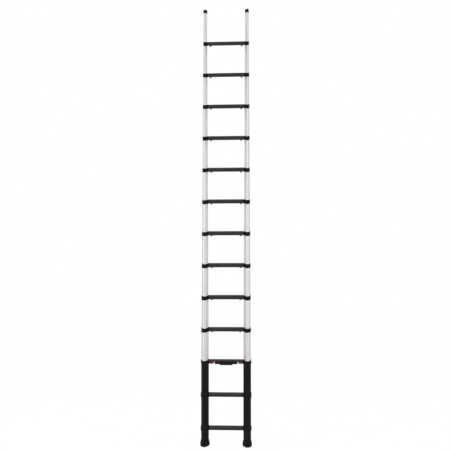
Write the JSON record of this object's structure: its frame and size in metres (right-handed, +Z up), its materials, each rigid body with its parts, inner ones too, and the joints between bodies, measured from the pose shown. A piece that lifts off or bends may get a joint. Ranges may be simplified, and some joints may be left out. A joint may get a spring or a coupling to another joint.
{
  "type": "telescoping ladder",
  "caption": "Telescoping lean-to ladder: tapering silver tube pairs slide out of black base stiles, with dark rungs between black collars, flared feet and a squeeze release under a low rung.",
  "frame": {"origin": "on the ground, midway between the stiles and midway between front and back", "axes": "+Z up along the stiles, +X across from the left stile to the right one, -Y towards the climber"},
  "size_m": [0.471, 0.097, 4.005],
  "materials": {
    "stile_black": "black powder-coated aluminium, fine satin texture",
    "tube_silver": "clear-anodised drawn aluminium, satin, fine lines along the tube",
    "rung_black": "black-anodised extrusion with a grooved tread",
    "collar_black": "black glass-filled nylon, lightly textured",
    "plunger_black": "black acetal, smooth",
    "boot_black": "black moulded plastic, fine grain",
    "pad_rubber": "black rubber, ribbed sole",
    "housing_black": "black moulded plastic, fine grain",
    "trigger_black": "black soft-touch plastic",
    "slide_red": "dark red moulded plastic",
    "link_steel": "bright zinc-plated steel",
    "pin_steel": "ground steel",
    "cap_black": "black moulded plastic, satin"
  },
  "bodies": {
    "base": {"base_stiles": "stile_black", "fixed_rung_lower": "rung_black", "fixed_rung_upper": "rung_black", "fixed_rung_collars": "collar_black", "base_collars": "collar_black", "foot_boots": "boot_black", "foot_pads": "pad_rubber", "release_rung": "rung_black", "release_housing": "housing_black"},
    "release_trigger": {"release_trigger": "trigger_black"},
    "release_left": {"release_slide_left": "slide_red", "release_link_left": "link_steel", "lock_pin_left": "pin_steel"},
    "release_right": {"release_slide_right": "slide_red", "release_link_right": "link_steel", "lock_pin_right": "pin_steel"},
    "stage_01": {"stage_01_tubes": "tube_silver", "stage_01_collars": "collar_black", "stage_01_rung": "rung_black"},
    "trips_01": {"stage_01_trip_plungers": "plunger_black"},
    "stage_02": {"stage_02_tubes": "tube_silver", "stage_02_collars": "collar_black", "stage_02_rung": "rung_black"},
    "trips_02": {"stage_02_trip_plungers": "plunger_black"},
    "stage_03": {"stage_03_tubes": "tube_silver", "stage_03_collars": "collar_black", "stage_03_rung": "rung_black"},
    "trips_03": {"stage_03_trip_plungers": "plunger_black"},
    "stage_04": {"stage_04_tubes": "tube_silver", "stage_04_collars": "collar_black", "stage_04_rung": "rung_black"},
    "trips_04": {"stage_04_trip_plungers": "plunger_black"},
    "stage_05": {"stage_05_tubes": "tube_silver", "stage_05_collars": "collar_black", "stage_05_rung": "rung_black"},
    "trips_05": {"stage_05_trip_plungers": "plunger_black"},
    "stage_06": {"stage_06_tubes": "tube_silver", "stage_06_collars": "collar_black", "stage_06_rung": "rung_black"},
    "trips_06": {"stage_06_trip_plungers": "plunger_black"},
    "stage_07": {"stage_07_tubes": "tube_silver", "stage_07_collars": "collar_black", "stage_07_rung": "rung_black"},
    "trips_07": {"stage_07_trip_plungers": "plunger_black"},
    "stage_08": {"stage_08_tubes": "tube_silver", "stage_08_collars": "collar_black", "stage_08_rung": "rung_black"},
    "trips_08": {"stage_08_trip_plungers": "plunger_black"},
    "stage_09": {"stage_09_tubes": "tube_silver", "stage_09_collars": "collar_black", "stage_09_rung": "rung_black"},
    "trips_09": {"stage_09_trip_plungers": "plunger_black"},
    "stage_10": {"stage_10_tubes": "tube_silver", "stage_10_collars": "collar_black", "stage_10_rung": "rung_black"},
    "trips_10": {"stage_10_trip_plungers": "plunger_black"},
    "top_left": {"top_tube_left": "tube_silver", "top_cap_left": "cap_black"},
    "top_right": {"top_tube_right": "tube_silver", "top_cap_right": "cap_black"}
  },
  "joints": [
    {"name": "trigger_squeeze", "type": "slide", "parent": "base", "child": "release_trigger", "axis": [0, 0.2924, -0.9563], "range_m": [-0.002, 0.006], "stiffness_N_per_m": 400, "springref_m": 0.012},
    {"name": "release_left_draw", "type": "slide", "parent": "base", "child": "release_left", "axis": [-1, 0, 0], "range_m": [-0.002, 0.006]},
    {"name": "release_right_draw", "type": "slide", "parent": "base", "child": "release_right", "axis": [1, 0, 0], "range_m": [-0.002, 0.006]},
    {"name": "stage_01_slide", "type": "slide", "parent": "base", "child": "stage_01", "axis": [0, 0, 1], "range_m": [-0.2548, 0]},
    {"name": "trips_01_press", "type": "slide", "parent": "stage_01", "child": "trips_01", "axis": [0, -0.2924, 0.9563], "range_m": [0, 0.009]},
    {"name": "stage_02_slide", "type": "slide", "parent": "stage_01", "child": "stage_02", "axis": [0, 0, 1], "range_m": [-0.2548, 0]},
    {"name": "trips_02_press", "type": "slide", "parent": "stage_02", "child": "trips_02", "axis": [0, -0.2924, 0.9563], "range_m": [0, 0.009]},
    {"name": "stage_03_slide", "type": "slide", "parent": "stage_02", "child": "stage_03", "axis": [0, 0, 1], "range_m": [-0.2548, 0]},
    {"name": "trips_03_press", "type": "slide", "parent": "stage_03", "child": "trips_03", "axis": [0, -0.2924, 0.9563], "range_m": [0, 0.009]},
    {"name": "stage_04_slide", "type": "slide", "parent": "stage_03", "child": "stage_04", "axis": [0, 0, 1], "range_m": [-0.2548, 0]},
    {"name": "trips_04_press", "type": "slide", "parent": "stage_04", "child": "trips_04", "axis": [0, -0.2924, 0.9563], "range_m": [0, 0.009]},
    {"name": "stage_05_slide", "type": "slide", "parent": "stage_04", "child": "stage_05", "axis": [0, 0, 1], "range_m": [-0.2548, 0]},
    {"name": "trips_05_press", "type": "slide", "parent": "stage_05", "child": "trips_05", "axis": [0, -0.2924, 0.9563], "range_m": [0, 0.009]},
    {"name": "stage_06_slide", "type": "slide", "parent": "stage_05", "child": "stage_06", "axis": [0, 0, 1], "range_m": [-0.2548, 0]},
    {"name": "trips_06_press", "type": "slide", "parent": "stage_06", "child": "trips_06", "axis": [0, -0.2924, 0.9563], "range_m": [0, 0.009]},
    {"name": "stage_07_slide", "type": "slide", "parent": "stage_06", "child": "stage_07", "axis": [0, 0, 1], "range_m": [-0.2548, 0]},
    {"name": "trips_07_press", "type": "slide", "parent": "stage_07", "child": "trips_07", "axis": [0, -0.2924, 0.9563], "range_m": [0, 0.009]},
    {"name": "stage_08_slide", "type": "slide", "parent": "stage_07", "child": "stage_08", "axis": [0, 0, 1], "range_m": [-0.2548, 0]},
    {"name": "trips_08_press", "type": "slide", "parent": "stage_08", "child": "trips_08", "axis": [0, -0.2924, 0.9563], "range_m": [0, 0.009]},
    {"name": "stage_09_slide", "type": "slide", "parent": "stage_08", "child": "stage_09", "axis": [0, 0, 1], "range_m": [-0.2548, 0]},
    {"name": "trips_09_press", "type": "slide", "parent": "stage_09", "child": "trips_09", "axis": [0, -0.2924, 0.9563], "range_m": [0, 0.009]},
    {"name": "stage_10_slide", "type": "slide", "parent": "stage_09", "child": "stage_10", "axis": [0, 0, 1], "range_m": [-0.2548, 0]},
    {"name": "trips_10_press", "type": "slide", "parent": "stage_10", "child": "trips_10", "axis": [0, -0.2924, 0.9563], "range_m": [0, 0.009]},
    {"name": "top_left_slide", "type": "slide", "parent": "stage_10", "child": "top_left", "axis": [0, 0, 1], "range_m": [-0.2548, 0]},
    {"name": "top_right_slide", "type": "slide", "parent": "stage_10", "child": "top_right", "axis": [0, 0, 1], "range_m": [-0.2548, 0]}
  ],
  "couplings": [
    {"joint": "release_left_draw", "follows": "trigger_squeeze", "ratio": 1},
    {"joint": "release_right_draw", "follows": "trigger_squeeze", "ratio": 1},
    {"joint": "trips_01_press", "follows": "stage_01_slide", "ratio": -0.035321},
    {"joint": "trips_02_press", "follows": "stage_02_slide", "ratio": -0.035321},
    {"joint": "trips_03_press", "follows": "stage_03_slide", "ratio": -0.035321},
    {"joint": "trips_04_press", "follows": "stage_04_slide", "ratio": -0.035321},
    {"joint": "trips_05_press", "follows": "stage_05_slide", "ratio": -0.035321},
    {"joint": "trips_06_press", "follows": "stage_06_slide", "ratio": -0.035321},
    {"joint": "trips_07_press", "follows": "stage_07_slide", "ratio": -0.035321},
    {"joint": "trips_08_press", "follows": "stage_08_slide", "ratio": -0.035321},
    {"joint": "trips_09_press", "follows": "stage_09_slide", "ratio": -0.035321},
    {"joint": "trips_10_press", "follows": "stage_10_slide", "ratio": -0.035321}
  ]
}
